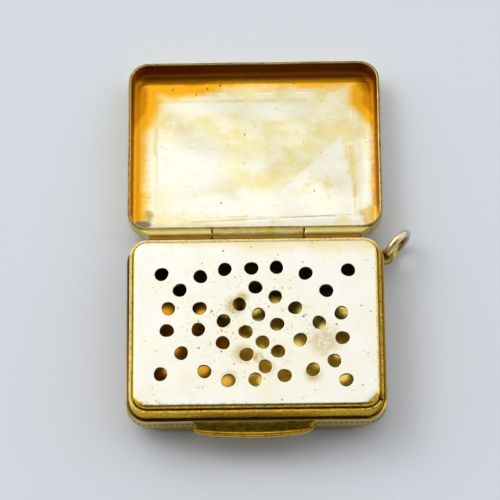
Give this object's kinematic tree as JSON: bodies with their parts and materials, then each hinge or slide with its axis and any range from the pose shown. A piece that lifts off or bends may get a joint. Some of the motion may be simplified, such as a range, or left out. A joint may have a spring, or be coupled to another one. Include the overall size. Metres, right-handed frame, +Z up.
{
  "type": "vinaigrette",
  "caption": "Small rounded rectangular box of gilt silver with a hinged lid, a pierced inner cover over a scented sponge, a front thumbpiece and a suspension ring.",
  "frame": {"origin": "middle of the base's flat underside", "axes": "+X to the box's right, +Y from its front to its hinge and the opened lid, +Z up from the table"},
  "size_m": [0.0377, 0.0549, 0.0073],
  "materials": {
    "gilt_outside": "worn gilt silver, milled wall",
    "gilt_inside": "polished gilt silver",
    "gilt_edge": "polished gilt silver",
    "gilt_grille": "satin, gilding worn pale",
    "worn_silver": "gilding worn through to silver",
    "pin_wire": "drawn wire",
    "sponge": "dried natural sponge"
  },
  "bodies": {
    "base": {"base_tray": "gilt_outside", "base_bezel": "gilt_edge", "grille_bearer": "gilt_edge", "grille": "gilt_grille", "sponge": "sponge", "thumbpiece": "gilt_edge", "base_knuckle": "worn_silver", "base_hinge_bearer": "gilt_edge", "hinge_pin": "pin_wire", "suspension_eye": "gilt_edge"},
    "lid": {"lid_tray": "gilt_inside", "lid_knuckle_left": "gilt_edge", "lid_knuckle_right": "gilt_edge", "lid_bearer_left": "gilt_edge", "lid_bearer_right": "gilt_edge", "hinge_plug_left": "gilt_edge", "hinge_plug_right": "gilt_edge"},
    "ring": {"suspension_ring": "worn_silver"}
  },
  "joints": [
    {"name": "lid_hinge", "type": "hinge", "parent": "base", "child": "lid", "pos_m": [0, 0.0137, 0.0046], "axis": [1, 0, 0], "range_deg": [0, 182.96]},
    {"name": "ring_swing", "type": "hinge", "parent": "base", "child": "ring", "pos_m": [0.0174, 0.01119, 0.0026], "axis": [0, 0, 1], "range_deg": [-117, 33]}
  ]
}
